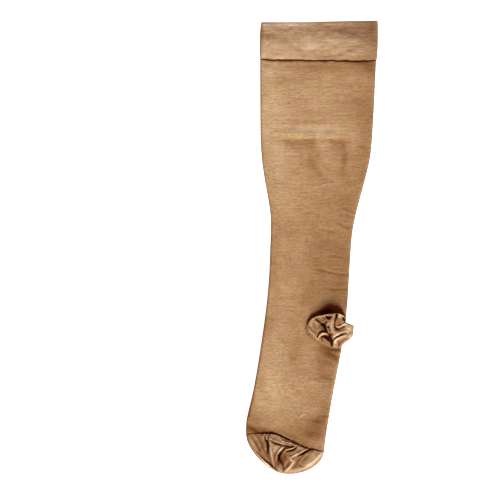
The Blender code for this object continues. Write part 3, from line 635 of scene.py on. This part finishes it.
toe = dict(
    wall=0.8, overSteps=230, underSteps=36, sideSteps=12, nominalRound=176.0, sagPower=1.8, insidePower=14,
    rowStep=0.4, baseTone=0.66, drift=[(0.6, 9, 9, 2.1)],
    tip=dict(across=-29.0, height=2.2, innerBack=1.6),
    sections=[
        (461.2, -74, 13.7, 19.8, 0.2, 4.2, 4.2),
        (461.8, -74, 13.7, 19.6, 0.2, 4.4, 4.4),
        (463.5, -73.9, 13.5, 18.8, 0.2, 4.8, 4.7),
        (470, -72.3, 12.7, 15.5, 0.3, 5.4, 5.3),
        (479.5, -67.4, 10.1, 11, 0.9, 5.4, 5.9),
        (490, -59.2, 5, 6.2, 1.6, 5.2, 6.1),
        (498.3, -49.6, -2.2, 2.9, 1.8, 4.8, 5.6),
        (502.4, -43, -9, 1.6, 1.6, 4.4, 5.2),
        (504.4, -39, -15.5, 1, 1.4, 4, 4.6),
        (505.6, -35.5, -21, 0.6, 0.8, 3.2, 3.4),
        (506.4, -30.2, -27.8, 0, 0, 0.6, 2.2),
    ],
    waves=[(0.45, 5, 9, 3.5), (0.25, 2.4, 4.5, 9.5)],
    folds=[
        ridge([(-54, 478, 6), (-34, 486, 10), (-10, 486, 10), (0, 484, 4)], 1.2, 11),
        # gathers on the left, from the seam towards the tip
        ridge([(-70, 465, 5), (-66, 471, 10), (-61.6, 478, 7), (-56, 486, 3)], 0.8, 1.6, 0.3),
        crease([(-66.5, 463.5, 7), (-62.5, 471, 10), (-58, 480, 8), (-53, 487, 4)], 0.8, 1.3, 0.32),
        ridge([(-63, 463.5, 6), (-59.5, 471, 10), (-56, 479, 9), (-52, 487, 5)], 0.9, 1.2, 0.2),
        crease([(-58.5, 463, 6), (-56, 470, 10), (-53.5, 478, 8), (-51, 486, 5)], 0.9, 1.1, 0.36),
        ridge([(-55.5, 463.5, 6), (-54.5, 470, 8), (-52, 477, 8)], 0.8, 0.9, 0.22),
        crease([(-53, 462.6, 5), (-52.3, 467, 9), (-50.2, 470, 13), (-49.4, 474, 14), (-49.6, 478, 12),
                (-49.8, 483, 6)], 2.6, 0.85, 0.93),
        crease([(-49.1, 462.6, 5), (-49.1, 467, 10), (-49.8, 470, 8)], 1.2, 0.6, 0.85),
        crease([(-49.8, 480, 7), (-48.8, 486, 10), (-46.8, 492, 9), (-44, 498, 4)], 2, 1.7, 0.5),
        ridge([(-47.6, 464, 6), (-47, 471, 10), (-46.4, 478.5, 12), (-45.2, 485, 12), (-44.4, 491, 11),
               (-42.5, 498, 5)], 1.7, 1.5, 0.5),
        crease([(-44.6, 474, 2), (-43.4, 480, 7), (-42.6, 487, 8), (-42, 494, 6)], 1, 1, 0.35),
        # the beak, a flap that points right under the seam
        flap([(-45.5, 467.6, 5), (-41, 470, 11), (-36, 471.6, 10), (-30, 473, 9), (-24, 474.2, 8),
              (-20, 474.4, 4)], 1.1, 3.4, 0.75, 3, 0.95, shade=0.97, paintedHighlight=0.1),
        ridge([(-21.2, 472.6, 5), (-18.2, 474.4, 11), (-20.4, 476.4, 12), (-24.5, 477.6, 10),
               (-29, 478.7, 8), (-31.6, 481.4, 4)], 1.2, 0.65, 0.5),
        crease([(-16.8, 474.4, 4), (-18.8, 477.3, 11), (-22.4, 479.3, 12),
                (-28.4, 480.4, 6)], 2.4, 0.8, 0.95),
        ridge([(-36, 465.6, 4), (-33.8, 468.6, 10), (-33.6, 471.4, 6)], 0.6, 0.6, 0.45),
        ridge([(-33.4, 468.6, 5), (-29, 470.6, 9), (-21, 472.2, 5)], 0.6, 0.7, 0.35),
        crease([(-32.6, 470, 4), (-28, 471.8, 7), (-22, 473, 3)], 0.5, 0.5, 0.35),
        # the middle, where the gathers meet
        crease([(-29.8, 476.2, 5), (-33, 479.6, 10), (-35.8, 482.8, 14), (-37.2, 486, 12),
                (-37.6, 490, 5)], 2.6, 1, 0.9),
        crease([(-37, 485, 8), (-35.6, 489, 11), (-33, 494, 10), (-32.2, 499.5, 6)], 2.2, 1.6, 0.7),
        ridge([(-33.5, 475.6, 4), (-37.6, 480.4, 10), (-39.9, 485.4, 12), (-41, 491, 11),
               (-39.6, 499, 5)], 1.5, 1.3, 0.3),
        ridge([(-36, 494, 5), (-36.6, 499, 9), (-34.5, 503, 5)], 0.8, 1, 0.4),
        # the long gather that runs down from the right
        ridge([(-4.5, 478, 2), (-7.5, 479, 5), (-12.8, 481.3, 7), (-18.6, 484.1, 9),
               (-24, 486.8, 9)], 0.7, 0.9, 0.7),
        ridge([(-24.6, 486.6, 5), (-23, 489, 10), (-21.4, 491.6, 11), (-23.2, 495.3, 11),
               (-26.3, 498.8, 10), (-29.2, 501.8, 6)], 1.4, 1.7, 0.65),
        crease([(-0.6, 478.6, 5), (-3.4, 479.2, 9), (-6.9, 481, 12), (-10.4, 483, 11), (-14.5, 484.8, 6),
                (-18.4, 487.4, 2)], 2.2, 0.95, 0.93),
        crease([(-27.6, 487.5, 4), (-26.6, 491.5, 9), (-28.6, 496.4, 7)], 1.2, 1.4, 0.3),
        crease([(-12, 486, 5), (-16.6, 490, 9), (-18.6, 494, 9), (-21.6, 497.2, 7)], 1, 2.2, 0.24),
        crease([(-16.3, 491.3, 4), (-14.7, 495, 10), (-10.4, 497.4, 10),
                (-7.6, 496.2, 4)], 0.5, 0.9, 0.26),
        ridge([(11.2, 481.8, 4), (7.6, 485.5, 10), (3.8, 489.4, 11), (-1, 493.2, 10),
               (-5.6, 496.2, 4)], 0.3, 0.9, 0.14),
        crease([(-3.5, 482.4, 4), (-6.5, 486.6, 10), (-10.5, 490.4, 7)], 0.7, 1.8, 0.18),
        # the rolled rim on both sides
        ridge([(12.6, 481.6, 5), (8.2, 486.2, 10), (1.4, 492, 12), (-6.4, 496.8, 12), (-15, 500, 9),
               (-24, 502.2, 5)], 1, 3.2, 0.4),
        ridge([(-65.4, 478.8, 4), (-60.6, 485.2, 9), (-54.8, 491, 11), (-49, 495.8, 11),
               (-42, 501, 6)], 1.1, 0.9, 0.8),
        crease([(-61.4, 480.4, 5), (-54.6, 487.4, 10), (-48, 493.6, 11), (-42.4, 499, 8)], 1.6, 1.5, 0.5),
        crease([(13.4, 485, 6), (9.4, 490.4, 10), (2, 496.4, 10), (-6, 500.8, 10), (-16, 504, 10),
                (-25, 505.6, 6)], 0, 1.2, 0.3),
        crease([(-41.4, 495.6, 7), (-40.4, 500, 10), (-39, 503.6, 4)], 1.2, 0.8, 0.5),
        crease([(-30.6, 497.5, 6), (-32.2, 501, 8), (-33, 503.8, 4)], 1, 0.8, 0.4),
        # painted shade along the outer edge on the left, which turns away from the light
        crease([(-74.4, 462, 8), (-72.4, 470, 10), (-67.6, 479.6, 10), (-62.2, 486.6, 9), (-56.4, 493, 6),
                (-50, 498.4, 3)], 0, 1.3, 0.66),
    ],
    # painted shade and painted highlights among the gathers
    patches=[
        (-57, 477, 6, 12, -24), (-13, 491, 7, 5, -30), (-33, 466.6, 11, 3.6, 40), (-11, 477.6, 7, 3.2, 60),
        (-21, 483, 4, 3, 30), (-31, 488, 4, 5, -60), (-38.5, 494, 4.5, 6, -68), (-4, 489, 4, 3, 10),
        (-56, 470, 5, 7, 16), (-46, 478, 4, 8, 10), (-28, 483, 5, 6, -12), (5, 488, 5, 5, 14),
        (-3, 495, 5, 3, 12), (-18, 499, 9, 4, -20), (-22, 470.6, 6, 2.4, 50), (-37.5, 478.5, 5, 5.5, 95),
        (-46, 469, 13, 4, 22), (-21, 477, 5, 2.4, 24), (-49, 495, 5, 3, 42), (7.5, 482, 7, 3.5, 45),
        (-60, 480, 5, 6, -14), (6, 489, 5, 4, -10),
    ],
)


def buildToe():
    first, last = toe["sections"][0][0], toe["sections"][-1][0]
    stations = np.append(np.arange(first, last - toe["rowStep"], toe["rowStep"]), last)
    outer = flatTube(toe, stations)
    inner = flatTube(toe, np.append(stations[:-6:5], stations[-4]), toe["wall"])
    # the last row of each closes at the tip
    for rows, back in ((outer, 0.0), (inner, toe["tip"]["innerBack"])):
        rows["across"][-1] = toe["tip"]["across"]
        rows["down"][-1] = tipDown - back
        rows["height"][-1] = toe["tip"]["height"]
    return shell("toe_knit", outer, inner)


# The pouch's outline and rim: its reach from the centre at each bearing, in degrees from +X towards the
# toe, and how high its rim stands there.
lobeColumns = ("bearing", "reach", "rim")

pouch = dict(
    wall=0.8, centre=(21.0, 345.0), middleHeight=8.4, hollow=1.2, clearance=0.3, grid=211, baseTone=0.66,
    droop=3.0, droopReach=8.0, mouth=0.45, plateauReach=0.85, insidePower=24, sidePower=32, rimTurn=0.3,
    rimShade=0.4, rimShadeReach=0.03, backShade=0.95, backShadeReach=0.035, paintedUnderShade=0.5, mostTone=1.3,
    lobes=[
        (-170, 26.7, 3.3), (-161, 26.7, 3.4), (-148, 25.7, 3.7), (-136, 23.2, 4.2), (-123, 20.5, 5.4),
        (-108, 19.5, 7.8), (-92, 19.4, 9.2), (-75, 20.7, 8.8), (-60, 22.3, 7.4), (-49, 22.6, 6.4),
        (-37, 20.6, 5.6), (-27, 18.9, 4.8), (-18, 21.8, 3), (-10, 26.1, 2.8), (-2, 25.7, 3),
        (7, 25.5, 4.2), (16, 25.3, 5.2), (27, 23.4, 5.2), (43, 20.9, 4.8), (53, 21.2, 4.5),
        (65, 20.8, 4.3), (75, 20.3, 4.2), (87, 18.9, 4.2), (104, 16.5, 4.2), (128, 16.8, 4),
        (146, 18.5, 3.8), (165, 21, 3.7), (179, 24.5, 3.8),
    ],
    waves=[(0.5, 6, 6, 5.5), (0.35, 2.5, 2.5, 8.5)],
    folds=[
        # the left lobe, with the sheet that laps over its top and the pocket between them
        crease([(-2, 339, 6), (4, 343, 10), (8, 347, 6)], 1.6, 6),
        ridge([(2.4, 331.6, 3), (-1.6, 334.2, 6), (-3.6, 339, 8), (-2.2, 345, 10), (1.6, 350, 10),
               (5.8, 354.2, 6)], 0.8, 0.8, 0.5),
        ridge([(0.2, 334.6, 6), (-0.8, 338.6, 10), (1.2, 342.6, 6), (2.2, 347, 9)], 0.5, 0.8, 0.4),
        crease([(1.8, 333.4, 5), (1.2, 337.6, 10), (3.4, 341.6, 8), (4.2, 347.4, 9)], 0.5, 1, 0.26),
        ridge([(4.6, 335.4, 8), (5.6, 339.4, 5), (4.8, 344.8, 8), (7, 349.6, 4)], 0.4, 0.9, 0.26),
        flap([(3.2, 330.6, 5), (5.6, 332.4, 9), (8.6, 334.6, 9), (11.8, 336, 8), (14.2, 335.2, 5),
              (16.2, 333.2, 2)], 1, 3.2, 0.6, 2, 0.8, 0.2, 0.8, 0.3),
        crease([(4.2, 331.7, 6), (6.2, 333.2, 11), (8.2, 335.3, 11), (9.9, 337.7, 8)], 0.5, 0.55, 0.94),
        crease([(10.8, 338.4, 7), (13, 338.8, 13), (14.2, 341.4, 12), (15.8, 345, 8),
                (17.2, 348.4, 5)], 3, 1.3, 0.96),
        crease([(10.4, 342.6, 5), (12.8, 344.4, 10), (14.6, 345.6, 5)], 0.2, 1.6, 0.3),
        ridge([(15.2, 335.8, 5), (15.7, 339, 10), (16.7, 342.2, 11), (17.9, 345.8, 10),
               (19.4, 348.6, 5)], 2, 0.8, 0.4),
        crease([(17.7, 338.6, 4), (18.1, 340.8, 11), (18.7, 343, 8), (20.2, 346.8, 6),
                (21.6, 350, 8)], 1.6, 0.6, 0.8),
        crease([(11.2, 329.2, 5), (12.8, 331.2, 10), (14.4, 333, 6)], 0.7, 0.7, 0.6),
        crease([(15.4, 329.4, 7), (17.6, 330.8, 12), (20.6, 329.4, 6)], 4, 1.15, 0.96),
        crease([(14.8, 333.4, 6), (15.8, 335, 9), (15.2, 336.8, 5)], 0.4, 0.9, 0.45),
        # the tongue down the middle, and the sheet behind it on the right
        ridge([(22.4, 327.6, 6), (21.6, 334, 10), (21.4, 340, 11), (23.6, 346, 10),
               (24.4, 351, 6)], 1.4, 1.9, 0.12),
        crease([(27.2, 327.4, 18), (26.8, 329.6, 13), (25.5, 332.8, 9), (24.8, 336.6, 8), (24.9, 340, 9),
                (26, 342.2, 9), (28.2, 343.6, 7), (30.2, 343.4, 3)], 2.6, 0.75, 0.9),
        crease([(25.4, 341.4, 5), (28.2, 343.4, 9), (31, 343, 5), (34, 341.8, 2)], 0.4, 1.6, 0.3),
        crease([(30.6, 343, 5), (33, 341.6, 9), (36, 340.2, 8), (39.4, 339.8, 3)], 0.3, 0.7, 0.34),
        ridge([(28.2, 340.4, 5), (30.4, 340.6, 10), (33.4, 338.8, 10), (38.6, 336.8, 7)], 1.4, 1, 0.55),
        ridge([(28.6, 327.4, 9), (31, 329.4, 8), (33.4, 330.2, 4)], 0.5, 1.6, 0.55),
        ridge([(38, 336.8, 7), (41.8, 338.6, 10), (46.4, 341, 10)], 0, 1.2, 0.2),
        crease([(33.6, 330.4, 6), (35.8, 332.9, 12), (38.2, 335.8, 6)], 3.2, 1, 0.96),
        # the right lobe, whose lower edge laps over the one below
        flap([(22, 354.8, 4), (25.4, 351.4, 10), (29.4, 348.9, 12), (33.4, 347.2, 9), (36.4, 346.5, 4),
              (40, 345.8, 0)], 0.8, 4, 1, 2.2, 0.65, 0.3, 0.93, 0.6),
        ridge([(32, 345.8, 6), (36.4, 344.6, 10), (41.6, 344.6, 8)], 0.2, 1.8, 0.38),
        ridge([(38.6, 340.6, 4), (42.4, 346, 9), (42.4, 352, 6)], 0.7, 2.4, 0.3),
        crease([(39.6, 347.4, 3), (39.8, 350.8, 9), (38.6, 354.2, 5)], 0.3, 1.6, 0.08),
        ridge([(23.2, 362.6, 6), (23.8, 358.8, 11), (26.8, 355, 11), (31.4, 352.2, 10),
               (37, 350.6, 5)], 1.6, 1.4, 0.7),
        crease([(28.2, 356, 5), (29.9, 358.8, 10), (29.2, 362.6, 6)], 1.4, 1, 0.55),
        crease([(32.5, 357, 4), (34.5, 355, 7), (38, 353.6, 3)], 0.6, 1.2, 0.06),
        crease([(27.6, 363.6, 5), (30.6, 361, 9), (33.2, 362.2, 5)], 1.1, 0.8, 0.45),
        # the arc across the lower left, between a dark crescent and a deep pocket
        ridge([(18.2, 350, 3), (16.4, 348.6, 9), (13.6, 348, 12), (10.6, 348.8, 12), (8.2, 351, 10),
               (6.2, 354, 6)], 1.9, 1.15, 0.55),
        crease([(17.4, 348, 6), (15.2, 346, 10), (12.2, 345.4, 10), (9.2, 346.5, 10), (7, 349, 9),
                (6, 352.2, 5)], 1.8, 0.65, 0.94),
        crease([(10.8, 351.9, 6), (14, 351.9, 12), (17.4, 353, 15), (20.4, 355.4, 13)], 3, 1.3, 0.96),
        crease([(19.2, 349.2, 10), (20.6, 354.4, 12), (21.8, 358.6, 14), (22, 363, 10)], 4.6, 1.1, 0.97),
        ridge([(12, 355.4, 6), (15.6, 356.4, 9), (19, 359.2, 6)], 0.7, 1.3, 0.34),
        crease([(10.5, 352.6, 5), (10.8, 354.6, 10), (11, 356.8, 4)], 0.9, 0.5, 0.75),
        crease([(13.5, 358.6, 3), (17, 359.6, 7), (20, 361.4, 6)], 0.5, 0.7, 0.22),
        ridge([(5.4, 354.6, 6), (10.6, 357.4, 10), (16.4, 360.4, 10), (21, 362.8, 6)], 0.9, 0.7, 0.5),
        # the outer rim along the top
        ridge([(-2.4, 333.2, 4), (3.4, 330.2, 9), (9.6, 328.9, 10), (15, 327.5, 9),
               (20, 326.7, 5)], 0.8, 0.8, 0.6),
        ridge([(19.4, 326.7, 6), (25, 326.5, 10), (30.5, 326.6, 10), (34.6, 328.8, 6)], 0.8, 0.8, 0.6),
    ],
    # painted shade and painted highlights on the crumpled top
    patches=[
        (6, 343, 7, 8, -14), (29.5, 335, 5, 5, -37), (21.5, 338, 4, 9, 16), (42, 346, 8, 12, 26),
        (28, 356, 7, 6, 12), (10, 331.5, 6, 3, 10), (1, 338, 4, 5, 5), (31, 328.5, 5, 3, 10),
        (8, 359.5, 10, 3.8, -60), (33.5, 355.5, 7, 5, -34), (19.4, 351, 1.8, 2, -40), (12, 343, 4, 3, -20),
        (42, 347, 6, 4, 34), (41, 339, 4, 2.5, -10), (16, 339, 3.5, 5, 42), (8, 346, 5, 4, 10),
        (-1, 344, 4, 8, -12), (35, 345, 6, 3, 16), (11.6, 339.2, 2.2, 1.6, -60), (26, 358, 4, 4, 14),
        (43, 339, 5, 3, 6),
    ],
)


def legTop(across, down):
    # the leg's upper surface at each point, and where its right side is there
    section = sectionsAt(leg["sections"], down.ravel())
    section = {key: column.reshape(down.shape) for key, column in section.items()}
    radius = section["edge"] / 2
    left, right = section["left"] + radius, section["right"] - radius
    share = np.clip((across - left) / (right - left), 0, 1)
    return upperLayer(leg, section, share, across, down)[0], section["right"]


def pouchFloor(across, down):
    # the pouch lies just over the leg, and droops past its side
    top, edge = legTop(across, down)
    pastEdge = smoothstep((across - edge - pouch["clearance"]) / pouch["droopReach"])
    return top + pouch["clearance"] - pouch["droop"] * pastEdge


def lobeAt(bearing, column):
    # the outline's reach or the rim's height at a bearing, all round
    bearings = [lobe[0] + turn for turn in (-360, 0, 360) for lobe in pouch["lobes"]]
    values = [lobe[lobeColumns.index(column)] for lobe in pouch["lobes"]] * 3
    return between(bearings, values, np.degrees(bearing))


def pouchRing(bearing, share):
    reach = share * lobeAt(bearing, "reach")
    return pouch["centre"][0] + reach * np.cos(bearing), pouch["centre"][1] + reach * np.sin(bearing)


def squareToRound(count):
    # A square grid stretched to a disc, so that the crumpled top has even faces and no pole: the
    # bearing and the share of the reach at each of its points.
    line = np.linspace(-1, 1, count)
    a, b = np.meshgrid(line, line, indexing="ij")
    wide = np.abs(a) >= np.abs(b)
    longer = np.where(wide, a, b)
    safe = np.where(longer == 0, 1.0, longer)
    bearing = np.where(wide, np.pi / 4 * b / safe, np.pi / 2 - np.pi / 4 * a / safe)
    bearing = np.where(longer < 0, bearing + np.pi, bearing)
    return (bearing + np.pi) % (2 * np.pi) - np.pi, np.abs(longer)


def pouchTop(bearing, share, across, down):
    # how far the crumpled top stands over the leg: a plateau with steep sides, and its folds
    rim = lobeAt(bearing, "rim")
    toRim = smoothstep(share / pouch["plateauReach"])
    plateau = pouch["middleHeight"] + (rim - pouch["middleHeight"]) * toRim
    added = relief(pouch["folds"], across, down)
    inside = 1 - share ** pouch["insidePower"]
    rise = plateau * np.sqrt(np.maximum(1 - share ** pouch["sidePower"], 0))
    rise += (added["rise"] + waves(pouch["waves"], across, down)) * inside
    least = (2 * pouch["wall"] + pouch["hollow"]) * inside + pouch["rimTurn"] * rim * (1 - inside)
    return np.maximum(rise, least), added


def buildPouch():
    bearing, share = squareToRound(pouch["grid"])
    across, down = pouchRing(bearing, share)
    rise, added = pouchTop(bearing, share, across, down)
    height = pouchFloor(across, down) + rise
    tone = pouch["baseTone"] * patchTone(pouch["patches"], across, down) * added["tone"]
    # painted shade: the lower rim turns under, out of the light, and the upper one faces away from it
    toToe, fromRim = np.sin(bearing), 1 - share
    tone *= 1 - pouch["rimShade"] * (1 + toToe) / 2 * bell(fromRim / pouch["rimShadeReach"])
    tone *= 1 - pouch["backShade"] * np.maximum(-toToe, 0) * bell(fromRim / pouch["backShadeReach"])
    tone = np.clip(tone, leastTone, pouch["mostTone"])
    points = [place(across + added["pushAcross"], down + added["pushDown"], height).reshape(-1, 3)]

    index = np.arange(share.size).reshape(share.shape)
    corners = (index[:-1, :-1], index[1:, :-1], index[1:, 1:], index[:-1, 1:])
    tones, faces = [tone.ravel()], [np.stack([part.ravel() for part in corners], axis=1)]
    last = np.concatenate([index[:-1, 0], index[-1, :-1], index[:0:-1, -1], index[0, :0:-1]])
    rimBearing = bearing.ravel()[last]
    # Below the rim, all in painted shade: the side turning under, the under layer, its mouth, and the
    # inside.
    mouth, wall, roof = pouch["mouth"], pouch["wall"], pouch["wall"] + pouch["hollow"]
    rings = [(0.985, 0.9), (0.95, 0.2), (0.9, 0), (0.75, 0), (0.6, 0), (mouth, 0),
             (mouth, wall), (0.7, wall), (0.86, wall), (0.86, wall + 0.6), (0.5, roof), (0, roof)]
    for ringShare, lift in rings:
        ringAcross, ringDown = pouchRing(rimBearing, ringShare)
        start = sum(len(part) for part in points)
        points.append(place(ringAcross, ringDown, pouchFloor(ringAcross, ringDown) + lift))
        tones.append(np.full(len(last), pouch["paintedUnderShade"]))
        ring = np.arange(start, start + len(last))
        faces.append(np.stack([last, np.roll(last, -1), np.roll(ring, -1), ring], axis=1))
        last = ring
    points, faces = np.vstack(points), np.vstack(faces)
    return sheetObject("heel_pouch_knit", points, faces, points[faces][:, :, :2], np.concatenate(tones))


def dress(piece, node, material):
    piece.data.materials.append(material)
    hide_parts(node)
    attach(piece, "root")
    return piece


# the room, in metres, and the camera, in millimetres
studio = dict(
    floorSize=30.0, floorHeight=-0.0004, floorColour="#f4f4f4", floorGlow=1.05,
    keyFrom=(0.13, -0.83, 0.5), keyStrength=4.9, keyAngle=32.0, keyColour="#ffffff",
    fillColour="#ff9058", fillStrength=0.15,
    lens=100.0, sensor=36.0, over=(-69.44, -2.87), surface=4.0, field=560.0,
)


def buildFloor():
    # a white light table: lit from below, so it shows no shadow
    bpy.ops.object.select_all(action="DESELECT")
    bpy.ops.mesh.primitive_plane_add(size=studio["floorSize"], location=(0, 0, studio["floorHeight"]))
    plane = bpy.context.object
    plane.name = "floor"
    material = bpy.data.materials.new("white acrylic light table")
    material.use_nodes = True
    shader = material.node_tree.nodes["Principled BSDF"]
    shader.inputs["Base Color"].default_value = srgb(studio["floorColour"])
    shader.inputs["Roughness"].default_value = 0.9
    shader.inputs["Emission Color"].default_value = srgb("#ffffff")
    shader.inputs["Emission Strength"].default_value = studio["floorGlow"]
    plane.data.materials.append(material)
    plane.visible_diffuse = False
    plane.visible_glossy = False


buildFloor()
bandPiece = dress(buildBand(), "top_band", knit(bandKnit))
legPiece = dress(buildLeg(), "leg_tube", knit(legKnit))
pocketMaterial = knit(pocketKnit)
toePiece = dress(buildToe(), "toe_cap", pocketMaterial)
pouchPiece = dress(buildPouch(), "heel_pouch", pocketMaterial)

def lightStudio():
    lamp = bpy.data.lights.new("key softbox", "SUN")
    lamp.energy = studio["keyStrength"]
    lamp.angle = np.radians(studio["keyAngle"])
    lamp.color = srgb(studio["keyColour"])[:3]
    key = bpy.data.objects.new("key softbox", lamp)
    key.rotation_mode = "QUATERNION"
    key.rotation_quaternion = Vector(studio["keyFrom"]).to_track_quat("Z", "Y")
    bpy.context.scene.collection.objects.link(key)
    world = bpy.data.worlds.new("room")
    world.use_nodes = True
    background = world.node_tree.nodes["Background"]
    background.inputs["Color"].default_value = srgb(studio["fillColour"])
    background.inputs["Strength"].default_value = studio["fillStrength"]
    bpy.context.scene.world = world


def addCamera():
    # straight down, with the stocking right of the middle of its field
    data = bpy.data.cameras.new("camera")
    data.lens = studio["lens"]
    data.sensor_width = studio["sensor"]
    camera = bpy.data.objects.new("camera", data)
    distance = studio["field"] * studio["lens"] / studio["sensor"]
    camera.location = Vector((*studio["over"], studio["surface"] + distance)) * mm
    bpy.context.scene.collection.objects.link(camera)
    bpy.context.scene.camera = camera


lightStudio()
addCamera()
bpy.context.scene.view_settings.view_transform = "Standard"
print("lit and framed")
